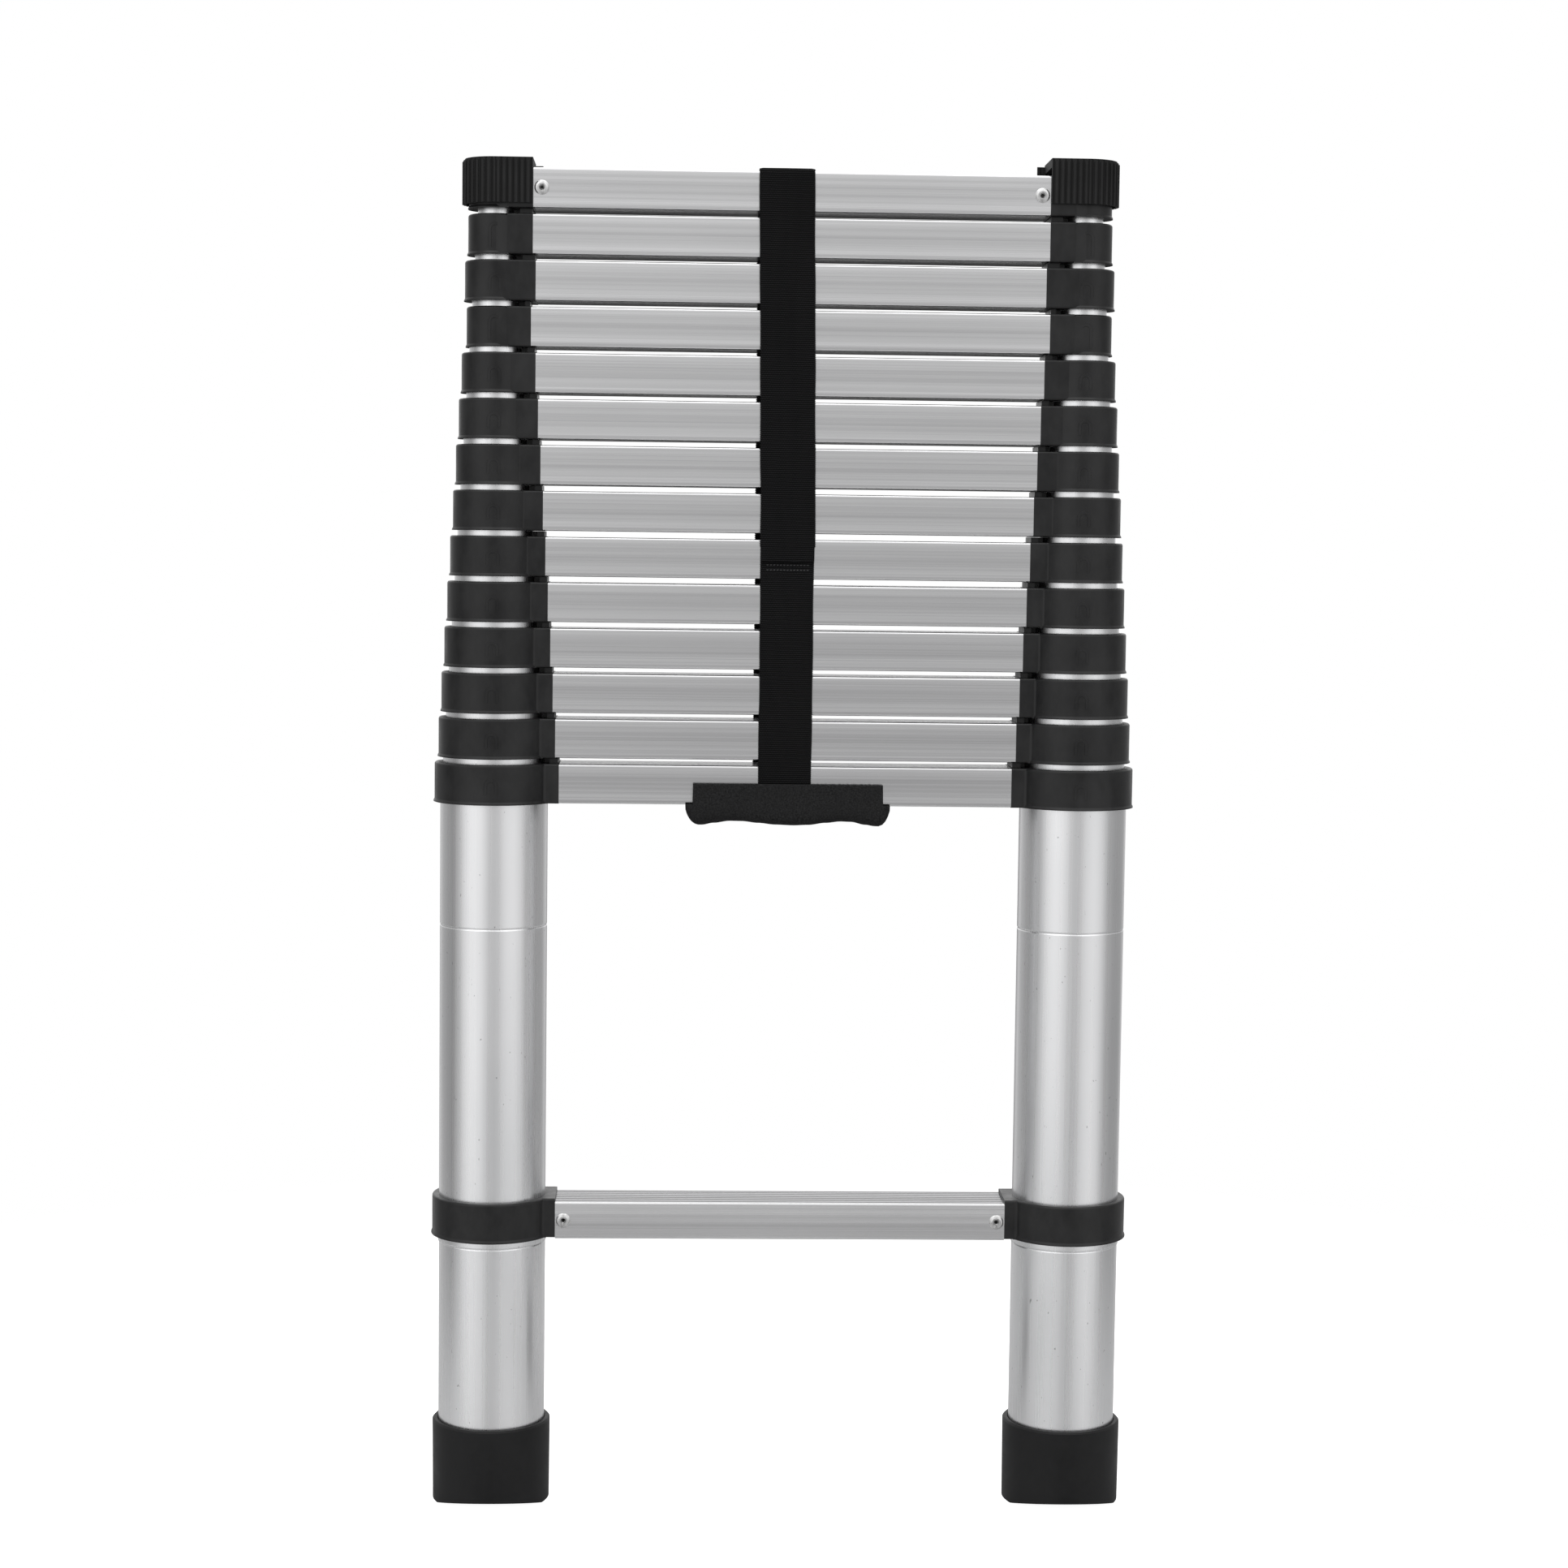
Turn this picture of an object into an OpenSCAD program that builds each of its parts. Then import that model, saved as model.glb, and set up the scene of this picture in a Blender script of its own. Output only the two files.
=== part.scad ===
// Telescopic rung ladder, closed: thirteen pairs of tubes slide into one outer pair.
// Frame: origin on the floor midway between the feet, +X along the rungs, +Z up, front at -Y.
// Sections are numbered from the top: section 1 is the smallest, 14 is the fixed outer pair.

/* [Overall] */
// Distance between the axes of the two legs
leg_spacing = 396; // [330:1:430]
// Distance between rungs when the ladder is pulled out
rung_pitch = 300; // [260:1:320]
// Height of the top face of the lowest rung above the floor
bottom_rung_top = 211; // [180:1:250]

/* [Tubes] */
// Outer diameter of the outermost tube
base_tube_d = 73; // [70:0.5:80]
// Difference in outer diameter from one tube to the next
tube_step = 3.65; // [3.4:0.05:4]
// Wall thickness of every tube
tube_wall = 1.25; // [1:0.05:1.3]
// Length of each tube that stays in the next one when it is pulled out
tube_overlap = 80; // [70:1:110]
// How far the swaged bead below the lowest rung stands proud
bead_proud = 0.6; // [0.3:0.1:1]
// Height of the rolled groove on the outer tube above the lowest rung
groove_rise = 188; // [120:1:220]
// Depth of the rolled groove
groove_depth = 0.35; // [0.2:0.05:0.5]

/* [Rungs] */
// Depth of a rung, front to back
rung_depth = 40; // [38:0.5:46]
// Height of the rungs in the stack
rung_height = 26.5; // [24:0.5:26.5]
// Height of the fixed lowest rung
bottom_rung_height = 25.5; // [23:0.5:27]
// Wall thickness of a rung
rung_wall = 1.6; // [1.2:0.1:2]
// Corner radius of a rung
rung_corner = 1.6; // [1:0.1:2.5]
// Number of grip grooves in the top face
groove_count = 9; // [5:1:11]
// Depth of a grip groove
grip_depth = 0.5; // [0.3:0.1:0.7]

/* [Collars] */
// Height of a collar
collar_height = 27; // [26.5:0.5:30]
// Gap between two closed collars
stack_gap = 3.6; // [3:0.1:6]
// Wall of a collar around its tube
collar_wall = 3.1; // [2.6:0.1:4]
// Thickness of the inward lip at the top of a collar
lip_thickness = 3; // [2:0.1:4]
// How far the boss reaches past the collar to the rung's end
boss_reach = 4.2; // [3:0.1:6]
// How far the boss stands proud of the rung's faces
boss_proud = 0.5; // [0.3:0.1:1]
// Radius of the rounded top edge of a collar
collar_round = 1.5; // [0.8:0.1:2]
// How far the moulded flash lip at the bottom edge stands out
flash_lip = 0.7; // [0.3:0.1:1]
// Radius of the concave blend between collar and boss
blend_radius = 4; // [2:0.5:5]
// Width of the slot between a tube and the spacer pad beside it
pad_slot = 3.5; // [2.5:0.5:5]
// Depth of the web that closes the middle of that slot
pad_web = 14; // [8:1:20]
// Depth of the spacer pad, front to back
pad_depth = 32; // [24:1:36]
// Height of the clamps that hold the lowest rung
clamp_height = 27; // [25:0.5:32]
// Wall of those clamps around the outer tube
clamp_wall = 4.6; // [4:0.1:6]

/* [Feet] */
// Height of a rubber foot
foot_height = 56.5; // [45:0.5:70]
// Wall of a rubber foot
foot_wall = 4; // [3:0.1:5]
// Thickness of the foot under the tube's end
foot_floor = 9; // [9:0.5:14]
// Width of the flat strip of the sole
sole_flat = 32; // [26:1:40]
// Slope of the sole in front of the strip and behind it
sole_slope = 15; // [10:1:16]

/* [Top caps] */
// Radius of the top collar
top_collar_r = 18.6; // [17:0.1:19]
// Wall of a ribbed cap, without its ribs
cap_wall = 1.75; // [1.5:0.05:3]
// Height of a cap
cap_height = 30; // [26:0.5:34]
// Thickness of a cap's roof
cap_roof = 6; // [4:0.5:8]
// How much higher the right cap is seated
right_cap_lift = 5; // [0:0.5:7]
// How far a rib stands out of a cap
rib_proud = 0.7; // [0.4:0.1:1]
// Width of a rib
rib_width = 1.6; // [1:0.1:2]

/* [Rivets] */
// Diameter of a rivet's head
rivet_head_d = 9.9; // [7:0.1:10.5]
// Diameter of a rivet's shank
rivet_shank_d = 4.8; // [4:0.1:5]
// Distance of a rivet from the rung's end
rivet_inset = 5.7; // [5:0.1:9]

/* [Lock] */
// Diameter of a lock pin
pin_d = 10; // [8:0.5:11]
// How far a release button draws its pin back
lock_travel = 6; // [4:0.5:7]
// Length of the lock housing inside a rung's end
housing_length = 38; // [34:1:44]
// Length of a release button along the rung
button_length = 14; // [10:1:18]
// Height of a release button
button_height = 12; // [9:0.5:14]

/* [Strap] */
// Width of the webbing
strap_width = 36; // [30:1:50]
// Thickness of the webbing
strap_thickness = 1.5; // [1:0.1:2]
// Place of the strap's centre line along the rungs
strap_offset = -0.8; // [-20:0.1:20]
// Height of the free end of the strap's upper part above the lowest sliding rung
strap_rise = 138; // [90:1:180]
// Length over which the two parts of the strap lie on each other
strap_lap = 70; // [40:1:90]

/* [Handle] */
// Width of the handle's flaps
flap_width = 128.5; // [110:1:140]
// Height of the flaps above the rung's lower edge
flap_rise = 15; // [10:0.5:20]
// Thickness of the flaps
flap_thickness = 3; // [2:0.1:4]
// Width of the grip
grip_width = 138.5; // [125:1:150]
// Thickness of the grip below the strap
grip_height = 11.5; // [8:0.5:14]
// Depth of the finger waves
grip_wave = 1.5; // [0.5:0.1:2.5]
// Place of the handle's centre along the rungs
handle_offset = 1.5; // [-20:0.1:20]

/* [Fits] */
// Gap between two pieces of one body that are pressed or clipped together
seat_gap = 0.05; // [0.02:0.01:0.1]
// Radial gap between a collar's lip and the tube that slides in it
slide_gap = 0.3; // [0.25:0.01:0.4]
// Gap around each guide bush
bush_gap = 0.22; // [0.15:0.01:0.3]
// Gap around a lock pin and a release button
lock_gap = 0.25; // [0.15:0.01:0.4]
// Gap between soft pieces and what they lie against
soft_gap = 0.4; // [0.3:0.05:0.5]
// Gap above each spacer pad
pad_gap = 0.2; // [0.1:0.05:0.3]
// Gap between a cap and the boss in it
cap_gap = 0.25; // [0.15:0.05:0.4]
// Gap between a rung's inner wall and the tongue in it
tongue_gap = 0.3; // [0.1:0.05:0.4]

/* [Hidden] */
$fn = 96;
SECTIONS = [for (k = [2:13]) k];

BASE = 14;
stack_pitch = collar_height + stack_gap;
travel = rung_pitch - stack_pitch;
tube_length = rung_pitch + tube_overlap;
base_top = bottom_rung_top + rung_pitch;
boss_depth = rung_depth + 2 * boss_proud;
clamp_rise = 2.3;           // the clamps stand this much above the lowest rung
tongue_length = 20;         // tongues of the clamps and of the top collars
bush_flange = 5;            // height of a guide bush below its tube
bush_spigot = 12;           // height of a guide bush inside its tube
bush_wall = 2;
boss_lead = 8;              // where the boss starts on a collar that is narrower than it
blend_sink = 0.15;          // blends start this deep in the ring
clamp_trim = 0.7;           // the clamps' bosses end this much short of a collar's
cap_clear = 0.2;            // a cap's body ends this much short of the rung
cap_flap_length = 5;        // flap that covers the joint of boss and rung
cap_flap_height = 13;
grip_lap = 0.7;             // the grip's walls reach this far over the rung's lower edge
bead_height = 5;
groove_height = 1.6;
pin_step = 8;               // from the rung's end to the pin's shoulder
tail_d = pin_d / 2;         // the thin rear end of a lock pin
end_wall = 5;               // wall that the lock spring bears on
button_proud = 3.5;         // how far a release button stands out of the rung
cut = 1;                    // overrun of cuts past a face

// Outer radius of the tubes of section k
function tube_r(k) = (base_tube_d - (BASE - k) * tube_step) / 2;

// The three smallest collars and the largest differ from the rule
function collar_trim(k) = k == BASE ? 0.8 : k == 4 ? -1.4 : k == 3 ? 1.6 : k == 2 ? 1.4 : 0;
function collar_r(k) = k == 1 ? top_collar_r : tube_r(k) + collar_wall + collar_trim(k);

function boss_trim(k) = k == 1 ? 2.4 : k <= 3 ? 1.8 : 0;

// Distance from the leg's axis to the end of the rung of section k
function boss_end(k) = collar_r(k) + boss_reach + boss_trim(k);
function clamp_end() = boss_end(BASE) - clamp_trim;

// Height of the top face of collar k
function collar_top(k) = base_top + (BASE - k) * stack_pitch;
function rung_mid(k) = collar_top(k) - collar_height / 2;
function tube_top(k) = collar_top(k) - lip_thickness;
function tube_bottom(k) = tube_top(k) - tube_length;

module on_left() {
    translate([-leg_spacing / 2, 0, 0]) children();
}

module on_right() {
    mirror([1, 0, 0]) on_left() children();
}

module on_legs() {
    on_left() children();
    on_right() children();
}

// Flat rectangle with round corners, centred
module round_rect(w, h, r) {
    square([w - 2 * r, h], center = true);
    square([w, h - 2 * r], center = true);
    for (x = [-1, 1], y = [-1, 1])
        translate([x * (w / 2 - r), y * (h / 2 - r)]) circle(r, $fn = 32);
}

// Extrude a Y-Z outline along +X from x0 to x1
module along_x(x0, x1) {
    translate([x0, 0, 0]) rotate([90, 0, 90]) linear_extrude(x1 - x0) children();
}

// Round bar or hole along +X
module x_bar(x0, x1, r, z) {
    translate([x0, 0, z]) rotate([0, 90, 0]) cylinder(h = x1 - x0, r = r, $fn = 48);
}

// ---- tubes ----

module tube(r, z0, z1) {
    difference() {
        translate([0, 0, z0]) cylinder(h = z1 - z0, r = r);
        translate([0, 0, z0 - cut]) cylinder(h = z1 - z0 + 2 * cut, r = r - tube_wall);
    }
}

// Hole for a lock pin in the side of a tube that faces the rung
module pin_hole(r, z) {
    x_bar(r / 2, r + cut, pin_d / 2 + 2 * lock_gap, z);
}

module tubes(k) {
    color("silver") on_legs() difference() {
        tube(tube_r(k), tube_bottom(k), tube_top(k));
        if (k > 1) pin_hole(tube_r(k), rung_mid(k));
        pin_hole(tube_r(k), rung_mid(k + 1) - travel);
    }
}

module outer_tubes() {
    r = tube_r(BASE);
    bead_top = bottom_rung_top + clamp_rise - clamp_height;
    color("silver") on_legs() difference() {
        union() {
            tube(r, foot_floor, tube_top(BASE));
            translate([0, 0, bead_top - bead_height])
                tube(r + bead_proud, 0, bead_height);
        }
        translate([0, 0, bead_top - 2 * bead_height])
            cylinder(h = 3 * bead_height, r = r - tube_wall);
        translate([0, 0, bottom_rung_top + groove_rise]) difference() {
            cylinder(h = groove_height, r = r + cut);
            translate([0, 0, -cut])
                cylinder(h = groove_height + 2 * cut, r = r - groove_depth);
        }
        pin_hole(r, rung_mid(BASE));
    }
}

// ---- collars ----

// Solid ring with a rounded top edge and a flash lip at the bottom, top at z = 0
module collar_ring(r, h) {
    steps = 4;
    rotate_extrude() polygon(concat(
        [[0, -h], [r + flash_lip, -h], [r + flash_lip, -h + flash_lip], [r, -h + 3 * flash_lip]],
        [for (i = [0:steps]) let (a = 90 * i / steps)
            [r - collar_round * (1 - cos(a)), -collar_round * (1 - sin(a))]],
        [[0, 0]]));
}

// Concave corner between the ring and one side of the boss
module collar_blend(r, h) {
    w = boss_depth / 2;
    reach = r + blend_radius;
    cx = sqrt(reach * reach - pow(w + blend_radius, 2));
    a0 = atan2(w + blend_radius, -cx);
    bite = blend_radius + blend_sink;
    steps = 5;
    translate([0, 0, -h]) linear_extrude(h - collar_round) polygon(concat(
        [for (i = [0:steps]) let (a = a0 + (90 - a0) * i / steps)
            [cx + bite * cos(a), -w - blend_radius + bite * sin(a)]],
        [[cx, -w + 2], [cx * 0.8, -w + 2]]));
}

// Boss towards the rung; where it is deeper than the ring, its sides lead in on a slope
module collar_boss(r, end, h) {
    narrow = r <= boss_depth / 2;
    start = narrow ? boss_lead : 0;
    along_x(start, end) translate([0, -h / 2]) round_rect(boss_depth, h, collar_round);
    if (narrow)
        translate([0, 0, -h]) linear_extrude(h - collar_round) polygon([
            [0, -r + blend_sink], [start + cut, -boss_depth / 2],
            [start + cut, boss_depth / 2], [0, r - blend_sink]]);
    else if (r > boss_depth / 2 + 0.3) {
        collar_blend(r, h);
        mirror([0, 1, 0]) collar_blend(r, h);
    }
}

// Tongue that fills the hollow end of a rung, centred on the rung's height
module tongue(start, length, h) {
    inset = 2 * (rung_wall + tongue_gap);
    along_x(start - cut, start + length) round_rect(rung_depth - inset, h - inset, rung_corner);
}

// Bush at the lower end of a tube, which keeps it centred in the next one
module guide_bush(k) {
    r = tube_r(k);
    bore = r - tube_wall - seat_gap - bush_wall;
    flange_r = r + tube_step / 2 - tube_wall - bush_gap;
    translate([0, 0, tube_bottom(k)]) difference() {
        union() {
            translate([0, 0, -bush_flange]) cylinder(h = bush_flange, r = flange_r);
            translate([0, 0, -cut]) cylinder(h = bush_spigot + cut, r = r - tube_wall - seat_gap);
        }
        translate([0, 0, -bush_flange - cut])
            cylinder(h = bush_flange + bush_spigot + 2 * cut, r = bore);
    }
}

// Pad on the boss that the section above rests on; its end lies over the rung
module spacer_pad(k) {
    start = tube_r(k - 1) + pad_slot;
    translate([start, -pad_depth / 2, -cut])
        cube([boss_end(k) - collar_round / 2 - start, pad_depth, stack_gap - pad_gap + cut]);
    translate([tube_r(k - 1) - cut, -pad_web / 2, -cut])
        cube([pad_slot + 2 * cut, pad_web, stack_gap - pad_gap + cut]);
}

module locking_collar(k) {
    r = collar_r(k);
    end = boss_end(k);
    housing_end = end + housing_length;
    pin_bore = pin_d / 2 + lock_gap;
    translate([0, 0, collar_top(k)]) difference() {
        union() {
            collar_ring(r, collar_height);
            collar_boss(r, end, collar_height);
            translate([0, 0, -collar_height / 2]) tongue(end, housing_length, rung_height);
            spacer_pad(k);
        }
        translate([0, 0, -collar_height - cut])
            cylinder(h = collar_height - lip_thickness + cut, r = tube_r(k) + seat_gap);
        translate([0, 0, -collar_height])
            cylinder(h = collar_height + stack_gap + cut, r = tube_r(k - 1) + slide_gap);
        x_bar(0, housing_end - end_wall, pin_bore, -collar_height / 2);
        x_bar(0, housing_end + cut, tail_d / 2 + lock_gap, -collar_height / 2);
    }
}

module collars(k) {
    color("dimgray") on_legs() {
        locking_collar(k);
        if (k < BASE) guide_bush(k);
    }
}

module top_collars() {
    r = collar_r(1);
    end = boss_end(1);
    color("dimgray") on_legs() {
        translate([0, 0, collar_top(1)]) difference() {
            union() {
                collar_ring(r, collar_height);
                collar_boss(r, end, collar_height);
                translate([0, 0, -collar_height / 2]) tongue(end, tongue_length, rung_height);
            }
            translate([0, 0, -collar_height - cut])
                cylinder(h = collar_height - lip_thickness + cut, r = tube_r(1) + seat_gap);
            translate([0, 0, -collar_height / 2]) rivet_holes(end);
        }
        guide_bush(1);
    }
}

module bottom_clamps() {
    r = tube_r(BASE) + clamp_wall;
    end = clamp_end();
    color("dimgray") on_legs() translate([0, 0, bottom_rung_top + clamp_rise]) difference() {
        union() {
            collar_ring(r, clamp_height);
            collar_boss(r, end, clamp_height);
            translate([0, 0, -clamp_rise - bottom_rung_height / 2])
                tongue(end, tongue_length, bottom_rung_height);
        }
        translate([0, 0, -clamp_height - cut])
            cylinder(h = clamp_height + 2 * cut, r = tube_r(BASE) + seat_gap);
        translate([0, 0, -clamp_rise - bottom_rung_height / 2]) rivet_holes(end);
    }
}

// ---- rungs ----

// Hollow outline of a rung with its grip grooves, centred on Y and Z
module rung_outline(h) {
    pitch = (rung_depth - 2 * rung_corner - 4) / (groove_count - 1);
    difference() {
        round_rect(rung_depth, h, rung_corner);
        round_rect(rung_depth - 2 * rung_wall, h - 2 * rung_wall, rung_corner / 2);
        for (i = [0:groove_count - 1])
            translate([(i - (groove_count - 1) / 2) * pitch - pitch / 4, h / 2 - grip_depth])
                square([pitch / 2, grip_depth + cut]);
    }
}

module rung_bar(end, h, z) {
    half = leg_spacing / 2 - end;
    translate([0, 0, z]) along_x(-half, half) rung_outline(h);
}

// Window in the rear wall of the lowest sliding rung for a release button
module button_window() {
    gap = lock_gap;
    translate([button_start() - gap, rung_depth / 2 - rung_wall - cut,
        rung_mid(BASE) - button_height / 2 - gap])
        cube([button_length + lock_travel + 2 * gap, rung_wall + 2 * cut, button_height + 2 * gap]);
}

module rungs(k) {
    color("lightgray") rung_bar(boss_end(k), rung_height, rung_mid(k));
}

module rung_14() {
    color("lightgray") difference() {
        rung_bar(boss_end(BASE), rung_height, rung_mid(BASE));
        on_legs() button_window();
    }
}

module rung_01() {
    color("lightgray") difference() {
        rung_bar(boss_end(1), rung_height, rung_mid(1));
        on_legs() translate([0, 0, rung_mid(1)]) rivet_holes(boss_end(1));
    }
}

module rung_15() {
    end = clamp_end();
    mid = bottom_rung_top - bottom_rung_height / 2;
    color("lightgray") difference() {
        rung_bar(end, bottom_rung_height, mid);
        on_legs() translate([0, 0, mid]) rivet_holes(end);
    }
}

// ---- rivets ----

module rivet_holes(end) {
    translate([end + rivet_inset, 0, 0]) rotate([90, 0, 0])
        cylinder(h = boss_depth + 2 * cut, d = rivet_shank_d + 2 * seat_gap, center = true, $fn = 48);
}

// Pop rivet, front one; its head lies on the rung's face
module rivet(depth) {
    head_h = 1.5;
    grip = 7;
    r = rivet_head_d / 2;
    translate([0, -depth / 2, 0]) rotate([90, 0, 0]) rotate_extrude($fn = 48) polygon([
        [1.2, -grip], [rivet_shank_d / 2, -grip], [rivet_shank_d / 2, 0], [r, 0], [r, 0.4],
        [r - 0.8, 1], [r - 2, head_h], [1.9, head_h], [1.5, 0.9], [1.2, 0.6]]);
}

module rivet_pair(end, z) {
    translate([end + rivet_inset, 0, z]) {
        rivet(rung_depth);
        mirror([0, 1, 0]) rivet(rung_depth);
    }
}

module top_rivets() {
    color("gainsboro") on_legs() rivet_pair(boss_end(1), rung_mid(1));
}

module bottom_rivets() {
    color("gainsboro") on_legs()
        rivet_pair(clamp_end(), bottom_rung_top - bottom_rung_height / 2);
}

// ---- feet ----

module rubber_feet() {
    r = tube_r(BASE) + foot_wall;
    rim = 1.2;
    color("dimgray") on_legs() difference() {
        rotate_extrude() polygon([[0, 0], [r - 1, 0], [r - 0.4, 0.6], [r, foot_height - rim],
            [r - rim, foot_height], [tube_r(BASE) + seat_gap + rim / 2, foot_height],
            [tube_r(BASE) + seat_gap, foot_height - rim], [tube_r(BASE) + seat_gap, foot_floor],
            [0, foot_floor]]);
        for (side = [-1, 1])
            translate([0, side * sole_flat / 2, 0]) rotate([side * sole_slope, 0, 0])
                translate([-2 * r, side > 0 ? 0 : -2 * r, -r]) cube([4 * r, 2 * r, r]);
    }
}

// ---- top caps ----

// Outline of a cap: round outside, straight flanks towards the rung
module cap_outline(r, x1) {
    circle(r);
    translate([0, -r]) square([x1, 2 * r]);
}

module cap_ribs(r, x1, h) {
    pitch = 4;
    for (x = [pitch / 2:pitch:x1 - 1], side = [-1, 1])
        translate([x - rib_width / 2, side > 0 ? r - 1 : -r - rib_proud, 0])
            cube([rib_width, 1 + rib_proud, h]);
    turns = floor(180 * r * PI / 180 / pitch);
    for (i = [0:turns]) rotate([0, 0, 90 + 180 * i / turns])
        translate([r - 1, -rib_width / 2, 0]) cube([1 + rib_proud, rib_width, h]);
}

module top_cap(lift) {
    x1 = boss_end(1) - cap_clear;
    inner = boss_depth / 2 + cap_gap;
    cap_r = inner + cap_wall;
    top = collar_top(1) + cap_roof + pad_gap + lift;
    translate([0, 0, top - cap_height]) difference() {
        union() {
            linear_extrude(cap_height - 1) cap_outline(cap_r, x1);
            linear_extrude(cap_height) cap_outline(cap_r - 1, x1);
            cap_ribs(cap_r, x1, cap_height - 2);
            translate([x1 - cut, inner, cap_height - 1 - cap_flap_height])
                cube([cap_flap_length + cut, cap_r - inner, cap_flap_height]);
        }
        translate([0, 0, -cut]) linear_extrude(cap_height - cap_roof + cut)
            cap_outline(inner, boss_end(1) + 2 * cap_flap_length);
    }
}

module top_caps() {
    color("dimgray") {
        on_left() top_cap(0);
        on_right() top_cap(right_cap_lift);
    }
}

// ---- lock of the lowest sliding rung ----

function housing_end() = boss_end(BASE) + housing_length;
function pin_shoulder() = boss_end(BASE) + pin_step;
function button_start() = housing_end() + 2;

module lock_pin() {
    z = rung_mid(BASE);
    x_bar(tube_r(BASE - 1) + slide_gap, pin_shoulder(), pin_d / 2, z);
    x_bar(pin_shoulder() - cut, button_start(), tail_d / 2, z);
}

module lock_spring() {
    z = rung_mid(BASE);
    difference() {
        x_bar(pin_shoulder(), housing_end() - end_wall, pin_d / 2 - 0.3, z);
        x_bar(pin_shoulder() - cut, housing_end(), tail_d / 2 + lock_gap, z);
    }
}

module release_button() {
    slot = button_height - 2 * lock_gap;
    translate([button_start(), -tail_d, rung_mid(BASE) - slot / 2]) difference() {
        cube([button_length, rung_depth / 2 + button_proud + tail_d, slot]);
        for (i = [1:4]) translate([i * button_length / 5 - 0.5,
            rung_depth / 2 + button_proud + tail_d - 0.8, -cut]) cube([1, 2, slot + 2 * cut]);
    }
}

module lock_pin_left() { color("gray") on_left() lock_pin(); }
module lock_pin_right() { color("gray") on_right() lock_pin(); }
module lock_spring_left() { color("darkgray") on_left() lock_spring(); }
module lock_spring_right() { color("darkgray") on_right() lock_spring(); }
module release_button_left() { color("red") on_left() release_button(); }
module release_button_right() { color("red") on_right() release_button(); }

// ---- strap and handle ----

inner_y = rung_depth / 2 + boss_proud;
outer_y = inner_y + strap_thickness + soft_gap;
rung_low = rung_mid(BASE) - rung_height / 2;
strap_low = rung_low - soft_gap - strap_thickness;
strap_end = base_top + strap_rise;

// Webbing around the lowest sliding rung, with its two ends going up
module strap_lower() {
    top = strap_end + strap_lap;
    color([0.15, 0.15, 0.16]) translate([strap_offset - strap_width / 2, 0, 0]) {
        translate([0, -inner_y - strap_thickness, strap_low])
            cube([strap_width, 2 * (inner_y + strap_thickness), strap_thickness]);
        for (side = [-1, 1])
            translate([0, side > 0 ? inner_y : -inner_y - strap_thickness, strap_low])
                cube([strap_width, strap_thickness, top - strap_low]);
    }
}

// Webbing over the top rung, with its two ends hanging outside the lower part
module strap_upper() {
    under = rung_mid(1) + rung_height / 2 + soft_gap;
    color([0.15, 0.15, 0.16]) translate([strap_offset - strap_width / 2, 0, 0]) {
        translate([0, -outer_y - strap_thickness, under])
            cube([strap_width, 2 * (outer_y + strap_thickness), strap_thickness]);
        for (side = [-1, 1])
            translate([0, side > 0 ? outer_y : -outer_y - strap_thickness, strap_end])
                cube([strap_width, strap_thickness, under + strap_thickness - strap_end]);
    }
}

// Lower edge of the grip at a distance x from its middle
function grip_edge(x) =
    let (half = grip_width / 2, round_end = 14, inside = half - abs(x))
    -grip_wave * cos(360 * x / (0.56 * grip_width))
    + (inside < round_end ? round_end * (1 - sqrt(1 - pow(1 - inside / round_end, 2))) * 0.8 : 0);

module strap_handle() {
    half = grip_width / 2;
    steps = 40;
    top = rung_low + grip_lap;
    channel = outer_y;
    grip_top = strap_low - soft_gap;
    color([0.25, 0.25, 0.26]) translate([handle_offset, 0, 0]) {
        difference() {
            translate([0, channel + flap_thickness, 0]) rotate([90, 0, 0])
                linear_extrude(2 * (channel + flap_thickness)) polygon(concat(
                    [[half, top]], [[-half, top]],
                    [for (i = [0:steps]) let (x = -half + grip_width * i / steps)
                        [x, grip_top - grip_height + grip_wave + grip_edge(x)]]));
            translate([-half - cut, -channel, grip_top])
                cube([grip_width + 2 * cut, 2 * channel, 2 * grip_height]);
        }
        for (side = [-1, 1])
            translate([-flap_width / 2, side > 0 ? channel : -channel - flap_thickness,
                grip_top - cut])
                cube([flap_width, flap_thickness, rung_low + flap_rise - grip_top + cut]);
    }
}

outer_tubes();
collars(14);  // collars_14
rung_14();
rung_15();
bottom_clamps();
bottom_rivets();
rubber_feet();
strap_lower();
strap_handle();
lock_spring_left();
lock_spring_right();
lock_pin_left();
lock_pin_right();
release_button_left();
release_button_right();
for (k = SECTIONS) {
    number = k < 10 ? str("0", k) : str(k);
    tubes(k);
    collars(k);
    rungs(k);
}
tubes(1);  // tubes_01
top_collars();
top_caps();
rung_01();
top_rivets();
strap_upper();
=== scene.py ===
import math
import bpy
import bmesh
from mathutils import Matrix, Vector


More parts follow.
